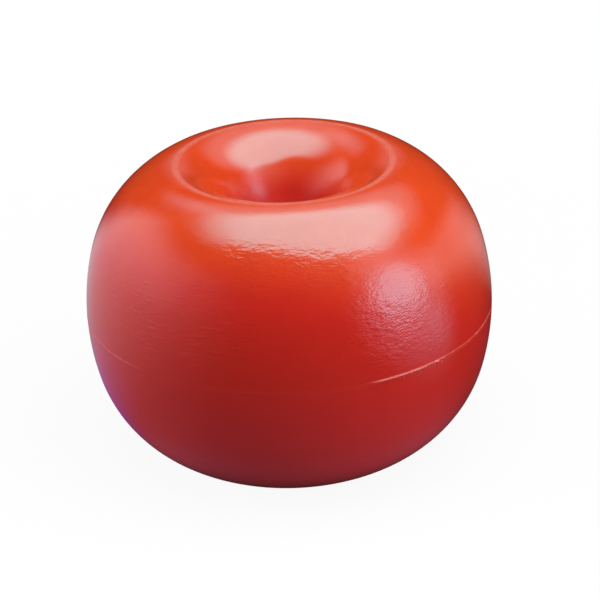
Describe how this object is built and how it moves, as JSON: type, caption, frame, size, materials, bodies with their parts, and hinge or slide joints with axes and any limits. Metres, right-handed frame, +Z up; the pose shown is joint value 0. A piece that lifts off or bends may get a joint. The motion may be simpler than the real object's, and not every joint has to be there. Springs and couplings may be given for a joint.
{
  "type": "marker buoy",
  "caption": "Squat ring-shaped marker buoy: a hollow moulded plastic float, dished above and below, with a rope bore through the middle and a welded seam round its waist.",
  "frame": {"origin": "centre of the lower rim that the buoy stands on, on the bore's axis", "axes": "+Z up along the bore's axis, which is the axis of revolution"},
  "size_m": [0.2008, 0.2008, 0.148],
  "materials": {
    "float_shell": "moulded red-orange polyethylene, semi-gloss, with a light orange-peel mould texture",
    "weld_bead": "trimmed weld bead of the same plastic, satin"
  },
  "bodies": {
    "root": {"upper_half_shell": "float_shell", "lower_half_shell": "float_shell", "seam_weld_bead": "weld_bead", "bore_weld_bead": "weld_bead"}
  },
  "joints": []
}
